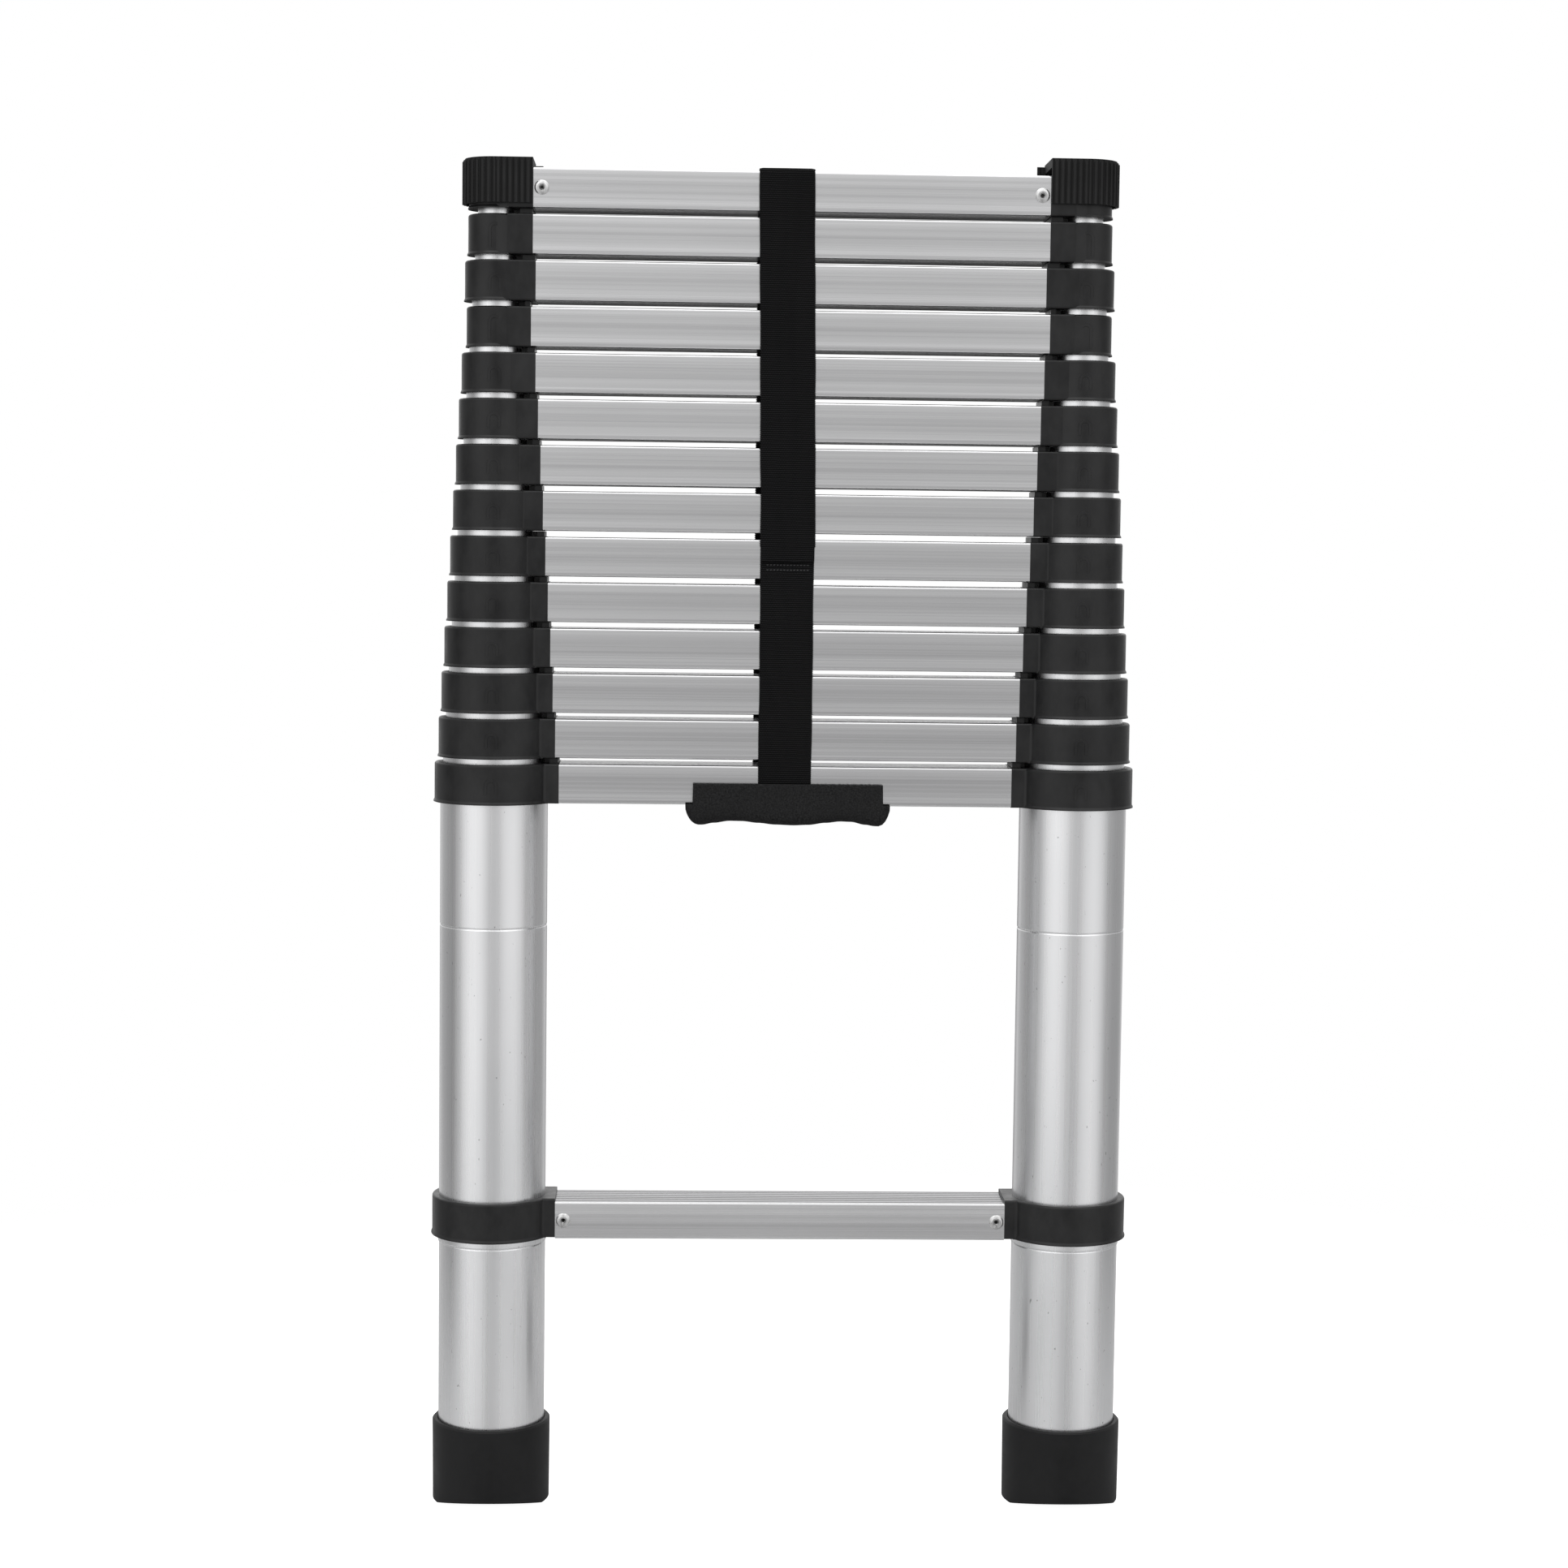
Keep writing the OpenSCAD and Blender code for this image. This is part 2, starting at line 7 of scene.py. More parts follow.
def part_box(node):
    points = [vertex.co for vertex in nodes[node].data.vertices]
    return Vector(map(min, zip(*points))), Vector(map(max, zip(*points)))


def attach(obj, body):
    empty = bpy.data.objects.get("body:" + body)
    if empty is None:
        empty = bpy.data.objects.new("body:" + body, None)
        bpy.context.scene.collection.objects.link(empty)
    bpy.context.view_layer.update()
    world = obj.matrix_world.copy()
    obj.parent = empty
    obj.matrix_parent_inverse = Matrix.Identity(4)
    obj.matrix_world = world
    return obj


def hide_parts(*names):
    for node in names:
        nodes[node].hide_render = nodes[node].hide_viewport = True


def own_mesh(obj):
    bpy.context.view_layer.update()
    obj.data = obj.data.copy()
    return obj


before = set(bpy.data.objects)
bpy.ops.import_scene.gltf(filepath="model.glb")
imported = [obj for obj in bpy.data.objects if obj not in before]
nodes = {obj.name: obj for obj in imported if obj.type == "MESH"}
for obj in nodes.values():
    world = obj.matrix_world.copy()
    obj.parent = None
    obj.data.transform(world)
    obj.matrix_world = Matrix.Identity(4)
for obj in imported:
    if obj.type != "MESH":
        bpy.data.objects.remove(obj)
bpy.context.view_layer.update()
mm = 0.001
legAxis = 0.198         # metres from the middle to the axis of a leg

camera = {
    "place": (-0.0753, -2.0624, 0.6625),
    "turn": 2.08,       # degrees to the right
    "tilt": 4.578,      # degrees down
    "roll": 0.711,
    "lens": 69.51,
    "sensor": 36,
    "sight": 60,        # metres
}

studio = {
    # direction around the ladder in degrees, 0 in front of it and + to the right: brightness
    "bands": [(-180, 1.0), (-156, 0.95), (-138, 0.56), (-112, 0.42), (-96, 0.28), (-78, 0.50), (-62, 0.98),
              (-44, 1.18), (-24, 1.08), (-8, 0.69), (4, 0.56), (12, 0.63), (26, 0.96), (46, 1.06), (62, 0.92),
              (78, 0.50), (98, 0.40), (136, 0.44), (156, 0.95), (180, 1.0)],
    "gain": (0.80, 1.5),            # of those bands, low down and overhead
    "gainBetween": (-0.12, 0.5),    # heights of the view direction
    "backdrop": 1.0,
    "rearDark": 0.06,               # what the bands keep behind the ladder below eye level
    "rearAngles": (154, 170),       # degrees either way, from where to where it gets dark
    "rearEdge": (-0.05, 0.01),
    "floor": 0.57,                  # as the camera sees it
    # and as the metal does, painted reflection bands: direction around the nearer leg in degrees, 0 in front:
    # brightness
    "floorReflectionBands": [(-180, 0.50), (-95, 0.49), (-64, 0.53), (-42, 0.62), (-20, 0.56), (-3, 0.41), (6, 0.40),
                   (24, 0.56), (42, 0.62), (62, 0.50), (95, 0.47), (180, 0.50)],
    "floorHalf": 12,
    "floorGlow": 0.95,              # lifts the floor to the backdrop's white
    "floorFade": (0.42, 1.1),       # the floor melts into the backdrop between these distances
}

topPanel = {"place": (0, -0.5, 2.6), "target": (0, 0, 0.5), "size": (2.4, 1.6), "watts": 10}


def sectionName(stem, number):
    return f"{stem}_{number:02d}"


def bodyName(number):
    return "base" if number == 14 else sectionName("section", number)


def collarNode(number):
    return "top_collars" if number == 1 else sectionName("collars", number)


# ---------- materials ----------

def startMaterial(name):
    made = bpy.data.materials.new(name)
    made.use_nodes = True
    tree = made.node_tree
    shader = tree.nodes["Principled BSDF"]
    return made, tree, shader


def coordinates(tree):
    return tree.nodes.new("ShaderNodeTexCoord").outputs


def separate(tree, vector):
    made = tree.nodes.new("ShaderNodeSeparateXYZ")
    tree.links.new(vector, made.inputs["Vector"])
    return made.outputs


def objectPlace(tree, stretch=(1, 1, 1)):
    mapping = tree.nodes.new("ShaderNodeMapping")
    mapping.inputs["Scale"].default_value = stretch
    tree.links.new(coordinates(tree)["Object"], mapping.inputs["Vector"])
    return mapping.outputs["Vector"]


def noise(tree, vector, scale, detail=3.0, rough=0.55):
    made = tree.nodes.new("ShaderNodeTexNoise")
    made.inputs["Scale"].default_value = scale
    made.inputs["Detail"].default_value = detail
    made.inputs["Roughness"].default_value = rough
    tree.links.new(vector, made.inputs["Vector"])
    return made.outputs["Fac"]


def spread(tree, value, low, high, fromLow=0.3, fromHigh=0.7):
    made = tree.nodes.new("ShaderNodeMapRange")
    made.inputs["From Min"].default_value = fromLow
    made.inputs["From Max"].default_value = fromHigh
    made.inputs["To Min"].default_value = low
    made.inputs["To Max"].default_value = high
    tree.links.new(value, made.inputs["Value"])
    return made.outputs["Result"]


def setSocket(tree, socket, value):
    # a value is another node's output or a constant
    if isinstance(value, bpy.types.NodeSocket):
        tree.links.new(value, socket)
    else:
        socket.default_value = value


def calculate(tree, operation, first, second=0.0):
    made = tree.nodes.new("ShaderNodeMath")
    made.operation = operation
    setSocket(tree, made.inputs[0], first)
    setSocket(tree, made.inputs[1], second)
    return made.outputs[0]


def ramp(tree, value, stops, blend="LINEAR"):
    made = tree.nodes.new("ShaderNodeValToRGB")
    band = made.color_ramp
    band.interpolation = blend
    while len(band.elements) < len(stops):
        band.elements.new(0.5)
    for element, (place, colour) in zip(band.elements, stops):
        element.position = place
        element.color = (*colour, 1)
    tree.links.new(value, made.inputs["Fac"])
    return made.outputs["Color"]


def greyStops(stops):
    return [(place, (level,) * 3) for place, level in stops]


def bandsAround(tree, angle, bands):
    # brightness by direction, from a table in degrees
    stops = greyStops([((degrees + 180) / 360, level) for degrees, level in bands])
    return ramp(tree, spread(tree, angle, 0, 1, -math.pi, math.pi), stops, "EASE")


def mixColour(tree, share, first, second, kind="MIX"):
    made = tree.nodes.new("ShaderNodeMix")
    made.data_type = "RGBA"
    made.blend_type = kind
    setSocket(tree, made.inputs[0], share)
    setSocket(tree, made.inputs[6], first)
    setSocket(tree, made.inputs[7], second)
    return made.outputs[2]


def tint(tree, first, second):
    return mixColour(tree, 1.0, first, second, "MULTIPLY")


def addBump(tree, shader, height, strength, distance, before=None):
    made = tree.nodes.new("ShaderNodeBump")
    made.inputs["Strength"].default_value = strength
    made.inputs["Distance"].default_value = distance
    tree.links.new(height, made.inputs["Height"])
    if before:
        tree.links.new(before, made.inputs["Normal"])
    tree.links.new(made.outputs["Normal"], shader.inputs["Normal"])
    return made.outputs["Normal"]


tubeFinish = {
    "light": (0.84, 0.84, 0.85),
    "dull": (0.77, 0.775, 0.785),
    "rough": (0.25, 0.33),
    "lines": 700,               # scale of the draw lines up the tube
    "clouds": 22,
    "specks": 520,
    "lineBump": 0.02,
    "lineDeep": 0.0002,         # metres, as below
    "pit": 0.55,                # colour of the few tiny specks, as a share
    "crease": 0.86,             # and painted shade along the rolled lines on the outer tubes
    "creaseShadeSpan": (0.0001, 0.0007),     # from the middle of such a line to the end of its painted shade
    "creaseDip": (0.0001, 0.0011),      # and of its dip
    "creaseDeep": 0.00035,
    "creaseDrop": 0.005,        # from a bottom clamp down to the edge of the bead
    "grooveRise": 0.1888,       # from the lowest rung up to the groove
}


def drawnTube(name, creases):
    look = tubeFinish
    made, tree, shader = startMaterial(name)
    lines = noise(tree, objectPlace(tree, (1, 1, 0.0012)), look["lines"])
    clouds = noise(tree, objectPlace(tree, (1, 1, 0.25)), look["clouds"])
    specks = noise(tree, objectPlace(tree, (1, 1, 0.6)), look["specks"], 1)
    metal = ramp(tree, clouds, [(0.3, look["dull"]), (0.7, look["light"])])
    colour = tint(tree, metal, spread(tree, specks, 1.0, look["pit"], 0.75, 0.80))
    normal = addBump(tree, shader, lines, look["lineBump"], look["lineDeep"])
    height = separate(tree, coordinates(tree)["Object"])["Z"]
    for crease in creases:
        away = calculate(tree, "ABSOLUTE", calculate(tree, "SUBTRACT", height, crease))
        # painted shade along each rolled line
        colour = tint(tree, colour, spread(tree, away, look["crease"], 1.0, *look["creaseShadeSpan"]))
        dip = spread(tree, away, 0, 1, *look["creaseDip"])
        dip.node.interpolation_type = "SMOOTHSTEP"
        normal = addBump(tree, shader, dip, 1.0, look["creaseDeep"], normal)
    tree.links.new(colour, shader.inputs["Base Color"])
    tree.links.new(spread(tree, lines, *look["rough"]), shader.inputs["Roughness"])
    shader.inputs["Metallic"].default_value = 1.0
    return made


rungFinish = {
    "stackLow": 0.48425,        # underside of rung 14, from which the stacked rungs repeat
    "pitch": 0.0306,
    # painted highlight and shade up the face of one rung, as a share of the pitch
    "face": [(0.0, 1.0), (0.035, 1.0), (0.065, 0.76), (0.10, 0.97), (0.20, 0.93), (0.34, 0.83),
             (0.52, 0.81), (0.68, 0.89), (0.79, 0.96), (0.866, 1.0)],
    "metal": (0.92, 0.92, 0.93),
    "stackShade": [(0.0, 0.95), (0.38, 0.86), (1.0, 0.99)],    # brightness over these pitches: painted shade, darkest low in the stack
    "reach": (-8, 13),
    "broadLines": 330,          # scale of the die lines along the rung
    "fineLines": 1500,
    "scuffs": 48,
    "streak": 0.12,             # how far the die lines darken it
    "hairline": 0.10,           # and the hair-thin ones
    "undersideShade": 0.16,          # painted shade on the faces turned downward, as those inside the stack
    # painted shade on the top faces
    "topShade": 0.62,
    "topRib": 0.0022,           # pitch of the fine grip ribs on top
    "ribDepth": 0.14,           # how far their painted rib shading strays from the top's painted shade
    "topShine": 0.8,            # share of the roughness on top
    "rough": (0.16, 0.26),
    "lineBump": 0.06,
    "lineDeep": 0.0002,
}


def paintedTreadShade(tree, sideways, facing):
    # painted shade of the ribbed tread on top, with painted shading of its ribs, and 1 on the other faces
    look = rungFinish
    wave = calculate(tree, "SINE", calculate(tree, "MULTIPLY", sideways, 2 * math.pi / look["topRib"]))
    darkest, brightest = (share * look["topShade"] for share in (1 - look["ribDepth"], 1 + look["ribDepth"]))
    treadShade = spread(tree, wave, darkest, brightest, -0.8, 0.8)
    onTop = spread(tree, facing, 0.0, 1.0, 0.93, 0.995)
    lost = calculate(tree, "MULTIPLY", onTop, calculate(tree, "SUBTRACT", 1.0, treadShade))
    return calculate(tree, "SUBTRACT", 1.0, lost)


def extrudedRung():
    look = rungFinish
    made, tree, shader = startMaterial("extrudedRung")
    broad = noise(tree, objectPlace(tree, (0.0008, 0.6, 1)), look["broadLines"], 2, 0.5)
    fine = noise(tree, objectPlace(tree, (0.0006, 1, 1)), look["fineLines"], 3, 0.7)
    scuff = noise(tree, objectPlace(tree, (0.2, 1, 1)), look["scuffs"], 5)
    where = coordinates(tree)
    parts = separate(tree, where["Object"])
    facing = separate(tree, where["Normal"])["Z"]
    above = calculate(tree, "SUBTRACT", parts["Z"], look["stackLow"])
    rise = calculate(tree, "DIVIDE", above, look["pitch"])
    # painted highlight and shade up each rung's face
    face = ramp(tree, calculate(tree, "FRACT", rise), greyStops(look["face"]))
    # painted shade down the stack, by height
    stackShadeLevel = ramp(tree, spread(tree, rise, 0, 1, *look["reach"]), greyStops(look["stackShade"]))
    # painted shade on the downward faces
    downwardShade = spread(tree, facing, look["undersideShade"], 1.0, -0.98, -0.80)
    # painted shade on the top faces and their ribs
    upper = paintedTreadShade(tree, parts["Y"], facing)
    lines = calculate(tree, "MULTIPLY", spread(tree, broad, 1.0 - look["streak"], 1.0, 0.36, 0.6),
                      spread(tree, fine, 1.0 - look["hairline"], 1.0, 0.34, 0.5))
    marks = spread(tree, scuff, 0.98, 1.015)
    shade = calculate(tree, "MULTIPLY", calculate(tree, "MULTIPLY", downwardShade, upper),
                      calculate(tree, "MULTIPLY", lines, marks))
    stackShaded = tint(tree, (*look["metal"], 1), stackShadeLevel)
    tree.links.new(tint(tree, tint(tree, stackShaded, face), shade), shader.inputs["Base Color"])
    smooth = spread(tree, facing, 1.0, look["topShine"], 0.90, 0.99)
    rough = calculate(tree, "MULTIPLY", spread(tree, fine, *look["rough"]), smooth)
    tree.links.new(rough, shader.inputs["Roughness"])
    addBump(tree, shader, fine, look["lineBump"], look["lineDeep"])
    shader.inputs["Metallic"].default_value = 1.0
    return made


def cloudyFinish(name, look):
    # clouds or fine marks between two colours, with a finer grain in the bump if the finish has one
    made, tree, shader = startMaterial(name)
    clouds = noise(tree, objectPlace(tree, look["stretch"]), *look["clouds"])
    grain = noise(tree, objectPlace(tree), look["grain"], 2) if "grain" in look else clouds
    low, high = look["between"]
    tree.links.new(ramp(tree, clouds, [(low, look["dark"]), (high, look["light"])]), shader.inputs["Base Color"])
    tree.links.new(spread(tree, clouds, *look["rough"]), shader.inputs["Roughness"])
    addBump(tree, shader, grain, look["bump"], look["deep"])
    shader.inputs["Metallic"].default_value = look["metal"]
    shader.inputs["Specular IOR Level"].default_value = look["shine"]
    return made


nylonFinish = {
    "dark": (0.006, 0.006, 0.0064),
    "light": (0.016, 0.016, 0.0164),
    "between": (0.32, 0.72),
    "stretch": (1, 1, 0.6),
    "clouds": (70, 4, 0.6),     # scale, detail and roughness of the noise
    "grain": 2600,
    "rough": (0.28, 0.46),
    "bump": 0.12,
    "deep": 0.0002,             # metres
    "metal": 0.0,
    "shine": 0.31,
}

rubberFinish = {
    "dark": (0.0055, 0.0055, 0.006),
    "light": (0.0115, 0.0115, 0.012),
    "between": (0.35, 0.75),
    "stretch": (1, 1, 1),
    "clouds": (38, 5, 0.65),
    "grain": 1900,
    "rough": (0.42, 0.62),
    "bump": 0.18,
    "deep": 0.0002,
    "metal": 0.0,
    "shine": 0.22,
}

threadFinish = {
    "dark": (0.020, 0.020, 0.021),
    "light": (0.075, 0.075, 0.078),
    "between": (0.3, 0.7),
    "stretch": (1, 1, 1),
    "clouds": (2200, 3),
    "rough": (0.45, 0.7),
    "bump": 0.4,
    "deep": 0.0002,
    "metal": 0.0,
    "shine": 0.5,
}

rivetFinish = {
    "dark": (0.46, 0.46, 0.46),
    "light": (0.68, 0.68, 0.68),
    "between": (0.3, 0.7),
    "stretch": (1, 1, 0.2),
    "clouds": (900, 4),
    "rough": (0.2, 0.42),
    "bump": 0.15,
    "deep": 0.0002,
    "metal": 1.0,
    "shine": 0.5,
}

steelFinish = {
    "dark": (0.42, 0.42, 0.43),
    "light": (0.6, 0.6, 0.61),
    "between": (0.3, 0.7),
    "stretch": (1, 0.05, 0.05),
    "clouds": (1500, 3),
    "rough": (0.22, 0.4),
    "bump": 0.1,
    "deep": 0.0001,
    "metal": 1.0,
    "shine": 0.5,
}

buttonFinish = {
    "dark": (0.42, 0.016, 0.012),
    "light": (0.52, 0.026, 0.018),
    "between": (0.3, 0.7),
    "stretch": (1, 1, 1),
    "clouds": (120, 3),
    "grain": 2400,
    "rough": (0.34, 0.46),
    "bump": 0.1,
    "deep": 0.0001,
    "metal": 0.0,
    "shine": 0.5,
}


capRibs = {
    "dark": (0.013, 0.013, 0.0132),
    "light": (0.022, 0.022, 0.0222),
    "pitch": 0.004,     # metres, of the straight ribs
    "turns": 17,        # ribs around the round end
    "groove": 0.22,     # painted shade: brightness left in the grooves
    "edges": (0.80, 0.97),      # where a rib's wave turns into the groove
    "rough": (0.5, 0.7),
    "shine": 0.14,
}


def ribbedRubber():
    look = capRibs
    made, tree, shader = startMaterial("ribbedRubber")
    where = coordinates(tree)
    parts = separate(tree, where["Object"])
    facing = separate(tree, where["Normal"])["Z"]
    inward = calculate(tree, "SUBTRACT", legAxis, calculate(tree, "ABSOLUTE", parts["X"]))
    flat = calculate(tree, "COSINE", calculate(tree, "MULTIPLY", inward, math.pi / look["pitch"]))
    angle = calculate(tree, "ARCTAN2", calculate(tree, "MULTIPLY", inward, -1.0), parts["Y"])
    around = calculate(tree, "SINE", calculate(tree, "MULTIPLY", angle, look["turns"]))
    wave = tree.nodes.new("ShaderNodeMix")
    tree.links.new(calculate(tree, "GREATER_THAN", inward), wave.inputs[0])
    tree.links.new(calculate(tree, "ABSOLUTE", around), wave.inputs[2])
    tree.links.new(calculate(tree, "ABSOLUTE", flat), wave.inputs[3])
    # painted shade in the grooves between the ribs
    shade = spread(tree, wave.outputs[0], 1.0, look["groove"], *look["edges"])
    flank = spread(tree, calculate(tree, "ABSOLUTE", facing), 0.0, 1.0, 0.2, 0.6)    # no ribs on top
    dust = noise(tree, objectPlace(tree), *rubberFinish["clouds"])
    grain = noise(tree, objectPlace(tree), rubberFinish["grain"], 2)
    base = ramp(tree, dust, [(0.35, look["dark"]), (0.75, look["light"])])
    tree.links.new(tint(tree, base, calculate(tree, "MAXIMUM", shade, flank)), shader.inputs["Base Color"])
    tree.links.new(spread(tree, dust, *look["rough"]), shader.inputs["Roughness"])
    addBump(tree, shader, grain, rubberFinish["bump"], rubberFinish["deep"])
    shader.inputs["Specular IOR Level"].default_value = look["shine"]
    return made


gripFinish = {
    "dark": (0.004, 0.004, 0.0042),
    "light": (0.027, 0.027, 0.0275),
    "worn": (0.010, 0.010, 0.0105),
    "speckles": 900,
    "clouds": 45,
    "rough": (0.72, 0.9),
    "bump": 0.3,
    "deep": 0.0004,
    "shine": 0.11,
}


def softGrip():
    look = gripFinish
    made, tree, shader = startMaterial("softGrip")
    speckle = noise(tree, objectPlace(tree), look["speckles"], 4, 0.75)
    clouds = noise(tree, objectPlace(tree), look["clouds"])
    base = ramp(tree, speckle, [(0.36, look["dark"]), (0.66, look["light"])])
    colour = mixColour(tree, spread(tree, clouds, 0.0, 0.4), base, (*look["worn"], 1))
    tree.links.new(colour, shader.inputs["Base Color"])
    tree.links.new(spread(tree, speckle, *look["rough"]), shader.inputs["Roughness"])
    addBump(tree, shader, speckle, look["bump"], look["deep"])
    shader.inputs["Specular IOR Level"].default_value = look["shine"]
    return made


webFinish = {
    # painted shade in the weave's valleys, the yarn's own colour, and a painted highlight on its crests
    "valleyShade": (0.0005, 0.0005, 0.0005),
    "yarn": (0.0038, 0.0038, 0.0040),
    "crestHighlight": (0.026, 0.026, 0.027),
    "pick": 1.4,        # mm from one weft rib to the next
    "end": 1.15,        # mm from one warp yarn to the next
    "wobble": 0.10,     # how far the ribs wander, as a share of the pick
    "yarnShare": 0.55,  # of the height, the rest is the rib's
    "rough": (0.62, 0.85),
    "fuzzBump": 0.15,
    "fuzzDeep": 0.0003,
    "weaveBump": 0.9,
    "weaveDeep": 0.0005,
    "shine": 0.05,
}


def yarnWave(tree, turns):
    wave = calculate(tree, "SINE", calculate(tree, "MULTIPLY", turns, math.pi))
    return calculate(tree, "ABSOLUTE", wave)


def wovenWebbing():
    look = webFinish
    made, tree, shader = startMaterial("wovenWebbing")
    flat = tree.nodes.new("ShaderNodeUVMap")
    flat.uv_map = "webbing"
    parts = separate(tree, flat.outputs["UV"])        # millimetres across and along
    wander = spread(tree, noise(tree, objectPlace(tree), 160, 2), -look["wobble"], look["wobble"])
    along = calculate(tree, "ADD", calculate(tree, "DIVIDE", parts["Y"], look["pick"]), wander)
    odd = calculate(tree, "MODULO", calculate(tree, "FLOOR", along), 2.0)
    across = calculate(tree, "ADD", calculate(tree, "DIVIDE", parts["X"], look["end"]),
                       calculate(tree, "MULTIPLY", odd, 0.5))
    rib = calculate(tree, "POWER", yarnWave(tree, along), 0.5)
    yarn = calculate(tree, "POWER", yarnWave(tree, across), 0.6)
    bulge = calculate(tree, "ADD", calculate(tree, "MULTIPLY", yarn, look["yarnShare"]), 1 - look["yarnShare"])
    height = calculate(tree, "MULTIPLY", rib, bulge)
    fuzz = noise(tree, objectPlace(tree), 1800, 4, 0.7)
    wear = noise(tree, objectPlace(tree, (1, 1, 0.4)), 34, 4)
    # painted shade in the valleys and painted highlight on the crests, by height of the weave
    weave = ramp(tree, height, [(0.12, look["valleyShade"]), (0.72, look["yarn"]), (1.0, look["crestHighlight"])])
    dulled = mixColour(tree, spread(tree, wear, 0.0, 0.35), weave, (*look["yarn"], 1))
    tree.links.new(tint(tree, dulled, spread(tree, fuzz, 0.75, 1.3)), shader.inputs["Base Color"])
    tree.links.new(spread(tree, fuzz, *look["rough"]), shader.inputs["Roughness"])
    rough = addBump(tree, shader, fuzz, look["fuzzBump"], look["fuzzDeep"])
    addBump(tree, shader, height, look["weaveBump"], look["weaveDeep"], rough)
    shader.inputs["Specular IOR Level"].default_value = look["shine"]
    return made


finishes = {
    "tube": drawnTube("drawnTube", []),
    "outerTube": drawnTube("outerTube", [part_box("bottom_clamps")[0].z - tubeFinish["creaseDrop"],
                                         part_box("rung_15")[1].z + tubeFinish["grooveRise"]]),
    "rung": extrudedRung(),
    "nylon": cloudyFinish("mouldedNylon", nylonFinish),
    "rubber": cloudyFinish("mouldedRubber", rubberFinish),
    "cap": ribbedRubber(),
    "grip": softGrip(),
    "webbing": wovenWebbing(),
    "thread": cloudyFinish("stitchThread", threadFinish),
    "rivet": cloudyFinish("polishedRivet", rivetFinish),
    "steel": cloudyFinish("turnedSteel", steelFinish),
    "button": cloudyFinish("redButton", buttonFinish),
}
print("materials made:", len(finishes))


def finishNode(name, finish):
    slots = nodes[name].data.materials
    slots.clear()
    slots.append(finishes[finish])


for number in range(1, 15):
    if number < 14:
        finishNode(sectionName("tubes", number), "tube")
    finishNode(sectionName("rung", number), "rung")
    finishNode(collarNode(number), "nylon")
for name, finish in {
    "outer_tubes": "outerTube", "rung_15": "rung", "bottom_clamps": "nylon", "rubber_feet": "rubber",
    "top_caps": "cap", "top_rivets": "rivet", "bottom_rivets": "rivet",
    "strap_lower": "grip", "strap_upper": "grip", "strap_handle": "grip",
}.items():
    finishNode(name, finish)
for side in ("left", "right"):
    finishNode("lock_pin_" + side, "steel")
    finishNode("lock_spring_" + side, "steel")
    finishNode("release_button_" + side, "button")
print("frame pieces finished:", len(nodes))


# ---------- pieces made here ----------

def makePiece(name, points, faces, finish, body, sharpAngle=40):
    # points are in mm
    mesh = bpy.data.meshes.new(name)
    mesh.from_pydata([(x * mm, y * mm, z * mm) for x, y, z in points], [], faces)
    work = bmesh.new()
    work.from_mesh(mesh)
    bmesh.ops.recalc_face_normals(work, faces=work.faces)
    work.to_mesh(mesh)
    work.free()
    mesh.shade_smooth()
    mesh.set_sharp_from_angle(angle=math.radians(sharpAngle))
    mesh.materials.append(finishes[finish])
    piece = bpy.data.objects.new(name, mesh)
    bpy.context.scene.collection.objects.link(piece)
    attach(piece, body)
    return piece


def boxInMm(node):
    low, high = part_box(node)
    return low / mm, high / mm


def ringFaces(rings, size, closed=True, first=0):
    # quads between rings of points that follow each other
    faces = []
    for row in range(rings - 1):
        for spot in range(size if closed else size - 1):
            turn = (spot + 1) % size
            a, b = first + row * size, first + (row + 1) * size
            faces.append((a + spot, a + turn, b + turn, b + spot))
    return faces


def endCaps(rings, size, first=0):
    last = first + (rings - 1) * size
    return [tuple(range(first, first + size)), tuple(range(last + size - 1, last - 1, -1))]


def solidFaces(rings, size, first=0):
    return ringFaces(rings, size, first=first) + endCaps(rings, size, first)


webbing = {
    "step": 0.7,            # mm along the strap from one row of points to the next
    "tooth": 0.30,          # mm that every second row stands out at the edges
    "bend": 2.2,            # mm, radius at the corners of the rungs
    "bendSteps": 8,
    "thick": 1.5,
    "lowerWidth": 36.0,
    "upperWidth": 37.0,
    "rearShift": -2.7,      # mm, the rear run lies further left
    "shiftOver": 20,        # mm before and behind the middle, over which it shifts
    "slant": 3.1,           # mm that the upper part leans over its length
    "slantFrom": 0.15,      # share of that length below which it stands straight
    "hem": 9.0,             # mm, smooth sealed end
    "hemFade": 1.5,
    "hemNarrow": 0.5,       # mm that the sealed end is narrower on each side
    "hemFlat": 0.12,        # share that it is thinner
    "rowFlat": 0.1,         # and every second row
    "edgeWaver": (0.12, 0.11),      # mm and radians per mm of slow waves in the width
    "sideWaver": (0.10, 0.045),     # and in the run
    # across the strap as a share of the half width, and out of it as a share of the half thickness
    "profile": [(-1, 0.0), (-0.985, 0.5), (-0.9, 0.92), (-0.5, 0.98), (0, 1.0), (0.5, 0.98), (0.9, 0.92),
                (0.985, 0.5), (1, 0.0), (0.985, -0.5), (0.9, -0.92), (0, -1.0), (-0.9, -0.92), (-0.985, -0.5)],
}


